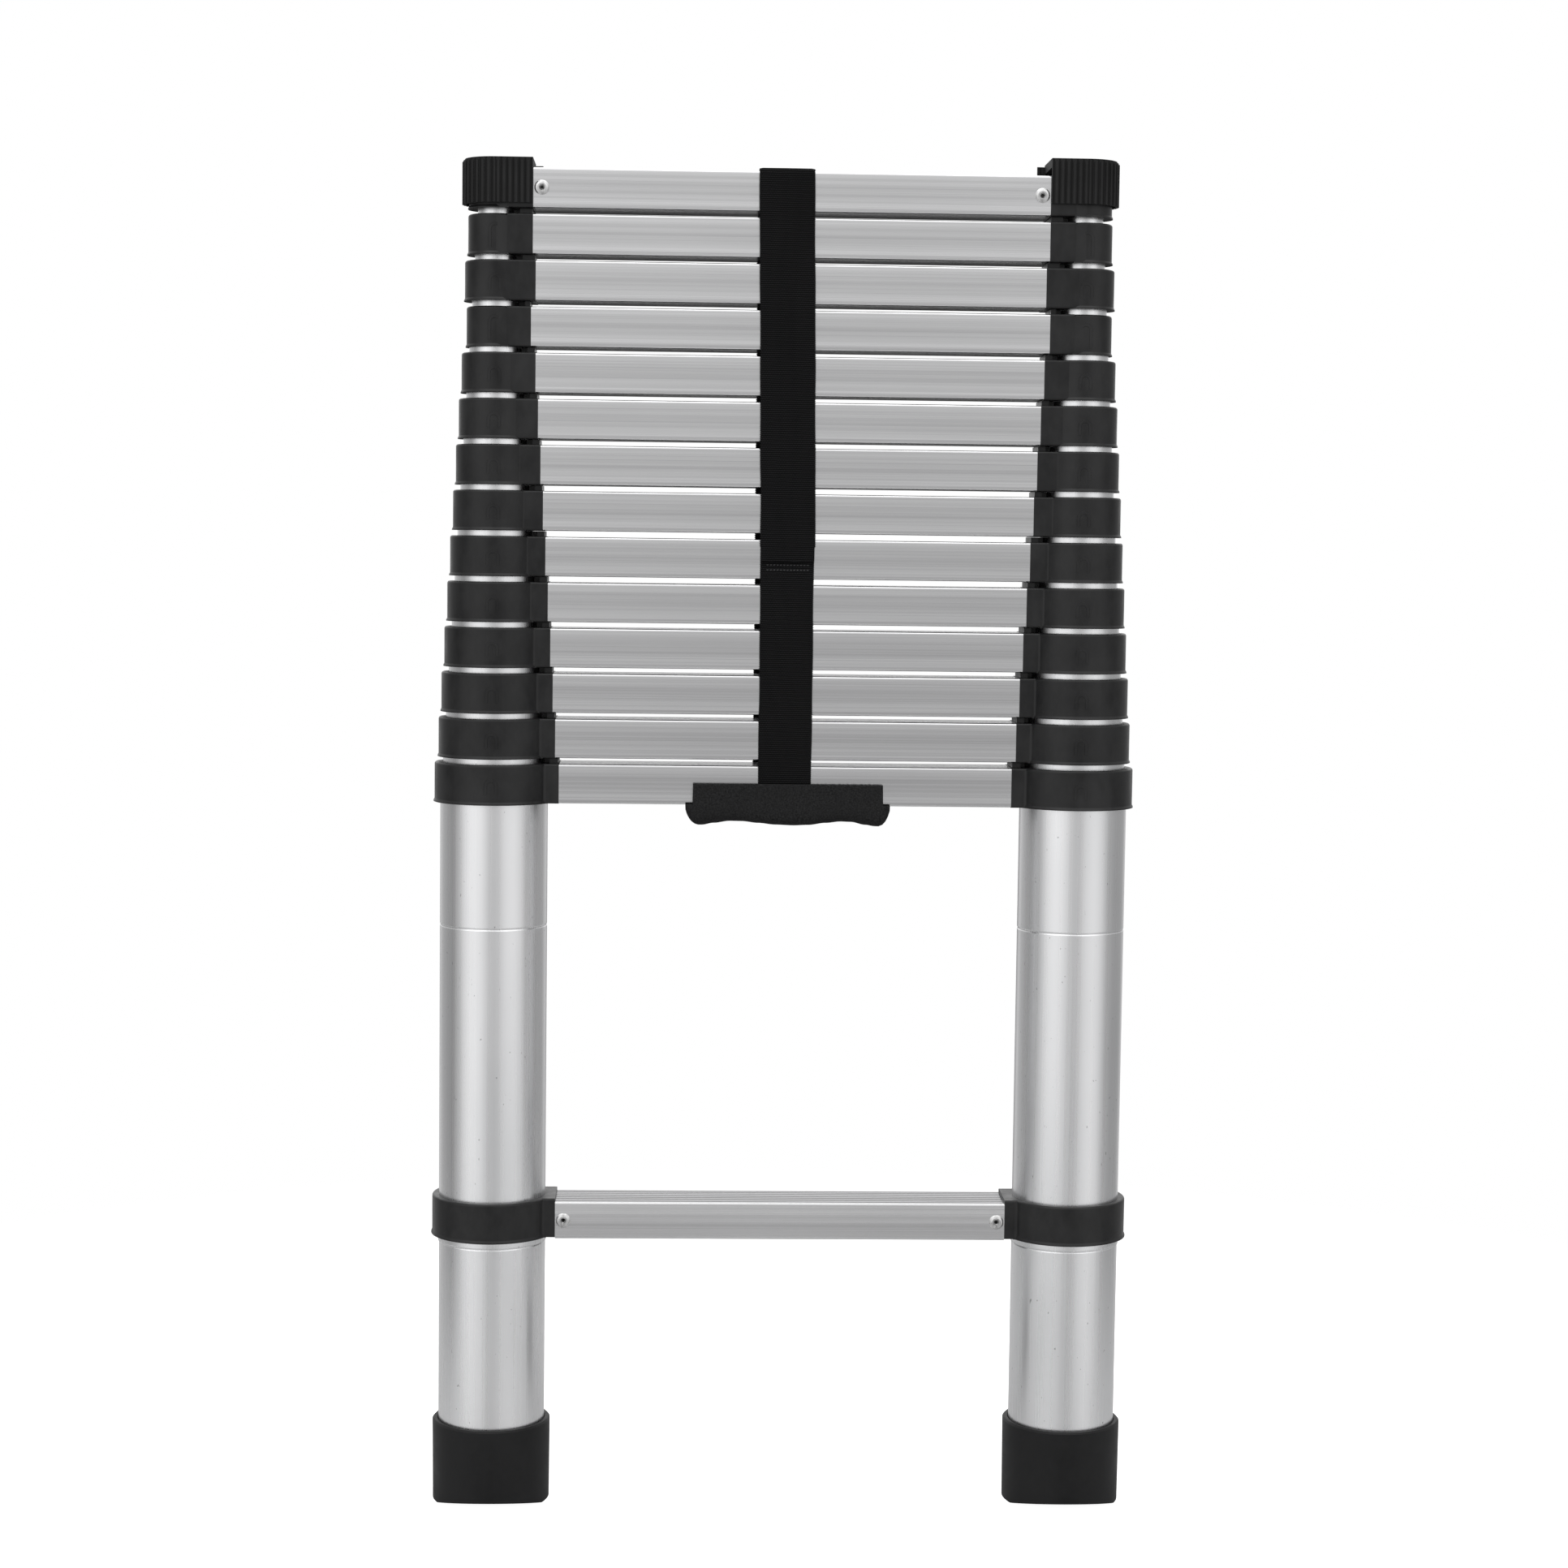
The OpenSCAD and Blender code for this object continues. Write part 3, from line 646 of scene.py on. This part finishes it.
def bentPath(corners, radius):
    # corners in y and z, in mm; each inner corner becomes an arc
    path = [Vector(corners[0])]
    for before, corner, after in zip(corners, corners[1:], corners[2:]):
        corner = Vector(corner)
        back = (Vector(before) - corner).normalized()
        ahead = (Vector(after) - corner).normalized()
        start, stop = corner + back * radius, corner + ahead * radius
        centre = corner + (back + ahead) * radius
        for i in range(webbing["bendSteps"] + 1):
            turn = math.pi / 2 * i / webbing["bendSteps"]
            path.append(centre + (start - centre) * math.cos(turn) + (stop - centre) * math.sin(turn))
    path.append(Vector(corners[-1]))
    return path


def evenSteps(path, step):
    lengths = [0.0]
    for first, second in zip(path, path[1:]):
        lengths.append(lengths[-1] + (second - first).length)
    count = int(lengths[-1] / step)
    places, spot = [], 0
    for i in range(count + 1):
        wanted = lengths[-1] * i / count
        while spot < len(path) - 2 and lengths[spot + 1] < wanted:
            spot += 1
        share = (wanted - lengths[spot]) / max(lengths[spot + 1] - lengths[spot], 1e-9)
        places.append(path[spot].lerp(path[spot + 1], share))
    return places


def webbingStrap(name, corners, width, middle, body, node, hemmed=False):
    rows = evenSteps(bentPath(corners, webbing["bend"]), webbing["step"])
    edgeSway, edgePace = webbing["edgeWaver"]
    sideSway, sidePace = webbing["sideWaver"]
    points, flat, travelled = [], [], 0.0
    for i, spot in enumerate(rows):
        before, after = rows[max(i - 1, 0)], rows[min(i + 1, len(rows) - 1)]
        ahead = (after - before).normalized()
        outward = Vector((ahead.y, -ahead.x))
        if i:
            travelled += (spot - rows[i - 1]).length
        sealed = max(0.0, min(1.0, 1 - (travelled - webbing["hem"]) / webbing["hemFade"])) if hemmed else 0.0
        tooth = webbing["tooth"] * (1 if i % 2 else -1) * (1 - sealed)
        half = width / 2 + tooth + edgeSway * math.sin(travelled * edgePace) - webbing["hemNarrow"] * sealed
        deep = webbing["thick"] / 2 * (1 - webbing["rowFlat"] * (i % 2) - webbing["hemFlat"] * sealed)
        lean = middle(spot.x, spot.y) + sideSway * math.sin(travelled * sidePace + 1)
        for across, out in webbing["profile"]:
            y, z = spot + outward * (out * deep)
            points.append((lean + half * across, y, z))
            flat.append((half * across, travelled))
    faces = solidFaces(len(rows), len(webbing["profile"]))
    strap = makePiece(name, points, faces, "webbing", body, 75)
    layer = strap.data.uv_layers.new(name="webbing")
    for loop in strap.data.loops:
        layer.data[loop.index].uv = flat[loop.vertex_index]
    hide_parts(node)


def makeStraps():
    low, high = boxInMm("strap_lower")
    topLow, topHigh = boxInMm("strap_upper")
    half = webbing["thick"] / 2
    middle = (low.x + high.x) / 2

    def rearward(y):
        return max(0, min(1, (y + webbing["shiftOver"]) / (2 * webbing["shiftOver"])))

    def lowerMiddle(y, z):
        return middle + webbing["rearShift"] * rearward(y)

    def upperMiddle(y, z):
        rise = (z - topLow.z) / (topHigh.z - topLow.z)
        slanted = max(0, rise - webbing["slantFrom"]) / (1 - webbing["slantFrom"])
        return middle - webbing["slant"] * slanted + webbing["rearShift"] * rearward(y) * (1 - rise)

    front, rear = low.y + half, high.y - half
    lowerCorners = [(front, high.z), (front, low.z + half), (rear, low.z + half), (rear, high.z)]
    webbingStrap("strapLower", lowerCorners, webbing["lowerWidth"], lowerMiddle, "base", "strap_lower")
    front, rear = topLow.y + half, topHigh.y - half
    upperCorners = [(front, topLow.z), (front, topHigh.z - half), (rear, topHigh.z - half), (rear, topLow.z)]
    webbingStrap("strapUpper", upperCorners, webbing["upperWidth"], upperMiddle, "section_01", "strap_upper",
                 hemmed=True)


stitching = {
    "length": 1.5,          # mm, as below
    "gap": 0.75,
    "thick": 0.55,
    "lift": 0.02,
    "arch": 0.24,           # that the middle of a stitch rises further
    "thin": 0.55,           # share of the thickness where it enters the webbing
    "flat": 0.7,            # depth over height of the thread
    "twist": 0.12,
    "rows": (-2.3, -5.6),   # below the upper strap's end
    "half": 14.0,
    "count": 13,
    "steps": 6,
    "sides": 8,
}


def makeStitches():
    # rows of stitches across the lower strap, just below the upper strap's end, front and rear
    low, high = boxInMm("strap_lower")
    upper, _ = boxInMm("strap_upper")
    middle = (low.x + high.x) / 2
    steps, sides = stitching["steps"], stitching["sides"]
    points, faces = [], []
    for side, face in ((-1, low.y), (1, high.y)):
        shift = webbing["rearShift"] if side > 0 else 0
        for drop in stitching["rows"]:
            for i in range(stitching["count"]):
                start = middle + shift - stitching["half"] + i * (stitching["length"] + stitching["gap"])
                faces += solidFaces(steps + 1, sides, len(points))
                for j in range(steps + 1):
                    share = j / steps
                    arch = math.sin(math.pi * share)
                    radius = stitching["thick"] / 2 * (stitching["thin"] + (1 - stitching["thin"]) * arch)
                    x = start + stitching["length"] * share
                    y = face + side * (stitching["lift"] + stitching["arch"] * arch)
                    z = upper.z + drop + stitching["twist"] * (share - 0.5)
                    for k in range(sides):
                        turn = 2 * math.pi * k / sides
                        deep = radius * math.cos(turn) * stitching["flat"]
                        points.append((x, y + deep, z + radius * math.sin(turn)))
    makePiece("strapStitches", points, faces, "thread", "base")


handle = {
    "flapHalf": 64.2,       # mm, everything below too
    "flapSide": 0.25,       # width of the step at the flap's ends
    "flapShort": 0.35,      # how far its torn edge stays below the top
    "gripHalf": 69.2,
    "wall": 3.0,
    "round": 6.5,           # lower corners, front to back
    "tuckFrom": 64.5,       # from here out the ends draw in
    "tuck": 0.9,
    "cuts": 150,            # along the grip
    "roundSteps": 6,
    # lower edge of the grip: distance from the middle, height above the grip's lowest point
    "edge": [(-69.2, 12.6), (-69.0, 10.6), (-68.3, 7.6), (-67.0, 4.8), (-65.0, 2.3), (-62.8, 0.8), (-60.5, 0.1),
             (-58, 0.15), (-50, 1.5), (-39, 2.9), (-31, 2.8), (-20, 1.7), (-8, 0.6), (4, 0.2), (14, 0.6),
             (26, 2.1), (36, 3.1), (43, 2.9), (53, 1.0), (59.5, 0.1), (62, 0.05), (64.5, 1.1), (66.8, 3.6),
             (68.2, 6.6), (69.0, 10.0), (69.2, 12.6)],
}


def between(table, place):
    # a table's value at a place, eased over its longer stretches
    for (x0, y0), (x1, y1) in zip(table, table[1:]):
        if place <= x1:
            share = (place - x0) / (x1 - x0)
            share = share * share * (3 - 2 * share) if x1 - x0 > 4 else share
            return y0 + (y1 - y0) * share
    return table[-1][1]


def handleStations():
    # places along the grip, each with a note of whether the flap stands there
    half, flap = handle["gripHalf"], handle["flapHalf"]
    places = [-half + 2 * half * i / handle["cuts"] for i in range(handle["cuts"] + 1)]
    stations = [(x, abs(x) <= flap) for x in places]
    for side in (-1, 1):
        stations += [(side * flap, True), (side * (flap + handle["flapSide"]), False)]
    return sorted(stations, key=lambda s: (s[0], s[1] if s[0] < 0 else not s[1]))


def makeHandle():
    low, high = boxInMm("strap_handle")
    middle = (low.x + high.x) / 2
    outer = high.y
    inner = outer - handle["wall"]
    channel = boxInMm("strap_lower")[0].z - 0.4     # the strap lies in it
    gripTop = boxInMm("rung_14")[0].z + 0.7
    stations = handleStations()
    points = []
    for x, flap in stations:
        # the flap's torn edge is rougher to the right
        torn = 0.22 * math.sin(x * 1.9) * math.sin(x * 0.63 + 1) + 0.14 * math.sin(x * 4.7)
        ragged = torn * max(0.12, min(1.0, x / 30))
        top = high.z - handle["flapShort"] + ragged if flap else gripTop
        out = outer - handle["tuck"] * max(0.0, (abs(x) - handle["tuckFrom"]) / 4) ** 2
        bottom = min(low.z + between(handle["edge"], x), channel - 1.0)
        radius = min(handle["round"], max(0.6, (gripTop - bottom) * 0.75))
        half = [
            (inner, channel), (inner, (channel + top) / 2), (inner + 0.1, top - 0.5), (inner + 0.5, top),
            (out - 0.7, top), (out - 0.1, top - 0.6), (out, (top * 2 + gripTop) / 3),
            (out - 0.12, gripTop + 0.1 if flap else gripTop - 0.2), (out + 0.08, gripTop - 0.9),
        ]
        for k in range(handle["roundSteps"] + 1):
            turn = math.pi / 2 * k / handle["roundSteps"]
            half.append((out - radius + radius * math.cos(turn), bottom + radius - radius * math.sin(turn)))
        half.append((out * 0.4, bottom))
        ring = [(-y, z) for y, z in half] + [(y, z) for y, z in reversed(half)]
        points += [(middle + x, y, z) for y, z in ring]
    faces = solidFaces(len(stations), len(points) // len(stations))
    piece = makePiece("strapHandle", points, faces, "grip", "base", 38)
    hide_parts("strap_handle")


spring = {
    "wire": 0.9,        # mm
    "turns": 9,
    "steps": 14,        # to a turn
    "sides": 7,         # of the wire
    "ease": 0.45,       # how much closer the end turns lie
    "keep": 0.76,       # share of its length that a pressed spring has
    "length": 25,       # mm, in the upper rungs
    "radius": 4.7,
}


def coilPoints(start, stop, radius, z):
    # a coil along x with closed end turns
    wire = spring["wire"] / 2
    points = []
    total = spring["turns"] * spring["steps"]
    length = stop - start
    for i in range(total + 1):
        share = i / total
        turn = 2 * math.pi * spring["turns"] * share
        eased = share + spring["ease"] * math.sin(2 * math.pi * share) / (2 * math.pi)
        x = start + math.copysign(wire, length) + (length - math.copysign(2 * wire, length)) * eased
        for k in range(spring["sides"]):
            around = 2 * math.pi * k / spring["sides"]
            reach = radius - wire + wire * math.cos(around)
            points.append((x + wire * math.sin(around), reach * math.cos(turn), z + reach * math.sin(turn)))
    return points, solidFaces(total + 1, spring["sides"])


def makeSprings():
    for side, joint in (("left", "left_release"), ("right", "right_release")):
        low, high = boxInMm("lock_spring_" + side)
        start, stop = (low.x, high.x) if side == "left" else (high.x, low.x)
        points, faces = coilPoints(start, stop, high.y, (low.z + high.z) / 2)
        coil = makePiece("lockSpring." + side, points, faces, "steel", "base")
        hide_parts("lock_spring_" + side)
        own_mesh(coil)


pin = {
    "head": 4.95,       # mm, radii of head and tail
    "tail": 2.4,
    "tip": 0.02,        # and of the rings that close the ends
    "nose": 0.8,        # bevels at the two ends
    "bevel": 0.5,
    "shoulder": 8.0,    # how far the shoulder and the tail lie inside the rung's end
    "reach": 39.0,
    "sides": 20,
}


def makeUpperLocks():
    # lock pins and springs in the rungs of sections 2 to 13, drawn like those of the lowest one
    noseGap = boxInMm("rung_14")[0].x - boxInMm("lock_pin_left")[0].x
    for number in range(2, 14):
        low, high = boxInMm(sectionName("rung", number))
        z = (low.z + high.z) / 2
        end = -low.x
        nose, shoulder, tail = end + noseGap, end - pin["shoulder"], end - pin["reach"]
        outline = [(nose, 0.0), (nose, pin["head"] - pin["nose"]), (nose - pin["nose"], pin["head"]),
                   (shoulder, pin["head"]), (shoulder, pin["tail"]), (tail + pin["bevel"], pin["tail"]),
                   (tail, pin["tail"] - pin["bevel"]), (tail, 0.0)]
        pins, pinFaces, coils, coilFaces = [], [], [], []
        for side in (-1, 1):
            pinFaces += solidFaces(len(outline), pin["sides"], len(pins))
            for x, radius in outline:
                radius = max(radius, pin["tip"])
                for k in range(pin["sides"]):
                    turn = 2 * math.pi * k / pin["sides"]
                    pins.append((side * x, radius * math.cos(turn), z + radius * math.sin(turn)))
            made, faces = coilPoints(side * shoulder, side * (shoulder - spring["length"]), spring["radius"], z)
            coilFaces += [tuple(len(coils) + corner for corner in face) for face in faces]
            coils += made
        body = bodyName(number)
        makePiece(sectionName("lockPins", number), pins, pinFaces, "steel", body, 30)
        makePiece(sectionName("lockSprings", number), coils, coilFaces, "steel", body)


mark = {
    "width": 9.0,           # mm, everything below too
    "leg": 1.9,
    "slope": 0.25,
    "proud": 0.2,
    "sunk": 0.15,           # the outline lies below the collar's surface
    "drop": 9.3,            # from the collar's top to the arch
    "length": 10.3,
    "longOn": (2, 4),       # collars with a longer mark that starts higher
    "longDrop": 6.0,
    "longLength": 16.5,
    "overTube": 3.0,        # collar's top above its tube's
    "lip": 0.7,             # flash lip around the collar
}


def archEdge(radius, centre, foot):
    # x and z of one edge of the arch, from its left foot over the top to the right one
    turns = [math.radians(angle) for angle in range(180, -1, -15)]
    arc = [(radius * math.cos(turn), centre + radius * math.sin(turn)) for turn in turns]
    return [(-radius, foot)] + arc + [(radius, foot)]


def makeCollarMarks():
    # a small moulded arch on the front of each collar from 2 to 14, on the axis of its tube
    axis = legAxis / mm
    outer = mark["width"] / 2
    inner = outer - mark["leg"]
    radii = (outer + mark["slope"], outer, inner, inner - mark["slope"])
    lifts = (-mark["sunk"], mark["proud"], mark["proud"], -mark["sunk"])
    for number in range(2, 15):
        low, _ = boxInMm(collarNode(number))
        _, tubeHigh = boxInMm("outer_tubes" if number == 14 else sectionName("tubes", number))
        reach = -axis - low.x - mark["lip"]     # collar radius
        long = number in mark["longOn"]
        crown = tubeHigh.z + mark["overTube"] - (mark["longDrop"] if long else mark["drop"])
        foot = crown - (mark["longLength"] if long else mark["length"])
        rows = list(zip(*(archEdge(radius, crown - outer, foot) for radius in radii)))
        points, faces = [], []
        for leg in (-axis, axis):
            first = len(points)
            for row in rows:
                for (x, z), lift in zip(row, lifts):
                    points.append((leg + x, -math.sqrt(reach * reach - x * x) - lift, z))
            faces += ringFaces(len(rows), len(radii), closed=False, first=first)
            faces += endCaps(len(rows), len(radii), first)
        name = sectionName("collarMarks", number)
        makePiece(name, points, faces, "nylon", bodyName(number), 25)


makeStraps()
makeStitches()
print("webbing sewn")
makeHandle()
print("handle moulded")
makeSprings()
makeUpperLocks()
print("locks fitted")
makeCollarMarks()
print("collar marks moulded")


# ---------- studio ----------

def placeCamera():
    data = bpy.data.cameras.new("camera")
    data.lens = camera["lens"]
    data.sensor_width = camera["sensor"]
    data.clip_end = camera["sight"]
    eye = bpy.data.objects.new("camera", data)
    bpy.context.scene.collection.objects.link(eye)
    eye.matrix_world = (
        Matrix.Translation(camera["place"])
        @ Matrix.Rotation(-math.radians(camera["turn"]), 4, "Z")
        @ Matrix.Rotation(math.radians(90 - camera["tilt"]), 4, "X")
        @ Matrix.Rotation(math.radians(camera["roll"]), 4, "Z")
    )
    bpy.context.scene.camera = eye


def placeTopPanel():
    panel = topPanel
    data = bpy.data.lights.new("topPanel", "AREA")
    data.shape = "RECTANGLE"
    data.size, data.size_y = panel["size"]
    data.energy = panel["watts"]
    lamp = bpy.data.objects.new("topPanel", data)
    bpy.context.scene.collection.objects.link(lamp)
    lamp.location = panel["place"]
    aim = Vector(panel["target"]) - Vector(panel["place"])
    lamp.rotation_euler = aim.to_track_quat("-Z", "Y").to_euler()


def cameraSees(tree):
    return tree.nodes.new("ShaderNodeLightPath").outputs["Is Camera Ray"]


def studioRoom():
    world = bpy.data.worlds.new("studioRoom")
    bpy.context.scene.world = world
    world.use_nodes = True
    tree = world.node_tree
    parts = separate(tree, coordinates(tree)["Generated"])
    around = calculate(tree, "ARCTAN2", parts["X"], calculate(tree, "MULTIPLY", parts["Y"], -1.0))
    bands = bandsAround(tree, around, studio["bands"])
    gain = spread(tree, parts["Z"], *studio["gain"], *studio["gainBetween"])
    behind = spread(tree, calculate(tree, "ABSOLUTE", around), 0, 1,
                    *(math.radians(angle) for angle in studio["rearAngles"]))
    low = spread(tree, parts["Z"], 1.0 - studio["rearDark"], 0, *studio["rearEdge"])
    kept = calculate(tree, "SUBTRACT", 1.0, calculate(tree, "MULTIPLY", behind, low))
    lit = tint(tree, bands, calculate(tree, "MULTIPLY", gain, kept))
    shade = mixColour(tree, cameraSees(tree), lit, (studio["backdrop"],) * 3 + (1,))
    tree.links.new(shade, tree.nodes["Background"].inputs["Color"])


def studioFloor():
    size = studio["floorHalf"]
    mesh = bpy.data.meshes.new("studioFloor")
    mesh.from_pydata([(-size, -size, 0), (size, -size, 0), (size, size, 0), (-size, size, 0)], [],
                     [(0, 1, 2, 3)])
    floor = bpy.data.objects.new("studioFloor", mesh)
    bpy.context.scene.collection.objects.link(floor)
    made, tree, shader = startMaterial("paleFloor")
    place = objectPlace(tree)
    parts = separate(tree, place)
    leg = calculate(tree, "MULTIPLY", calculate(tree, "SIGN", parts["X"]), legAxis)
    around = calculate(tree, "ARCTAN2", calculate(tree, "SUBTRACT", parts["X"], leg),
                       calculate(tree, "MULTIPLY", parts["Y"], -1.0))
    # painted reflection bands on the floor for the metal; the camera sees the floor plain
    bands = bandsAround(tree, around, studio["floorReflectionBands"])
    pale = studio["floor"]
    plain = ramp(tree, noise(tree, place, 9), greyStops([(0.3, pale * 0.985), (0.7, pale)]))
    seen = cameraSees(tree)
    tree.links.new(mixColour(tree, seen, bands, plain), shader.inputs["Base Color"])
    tree.links.new(calculate(tree, "MULTIPLY", seen, studio["floorGlow"]), shader.inputs["Emission Strength"])
    shader.inputs["Emission Color"].default_value = (1, 1, 1, 1)
    shader.inputs["Roughness"].default_value = 0.9
    away = tree.nodes.new("ShaderNodeVectorMath")
    away.operation = "LENGTH"
    tree.links.new(place, away.inputs[0])
    tree.links.new(spread(tree, away.outputs["Value"], 1, 0, *studio["floorFade"]), shader.inputs["Alpha"])
    mesh.materials.append(made)


placeCamera()
studioRoom()
studioFloor()
placeTopPanel()
bpy.context.scene.view_settings.view_transform = "Standard"
print("studio ready")
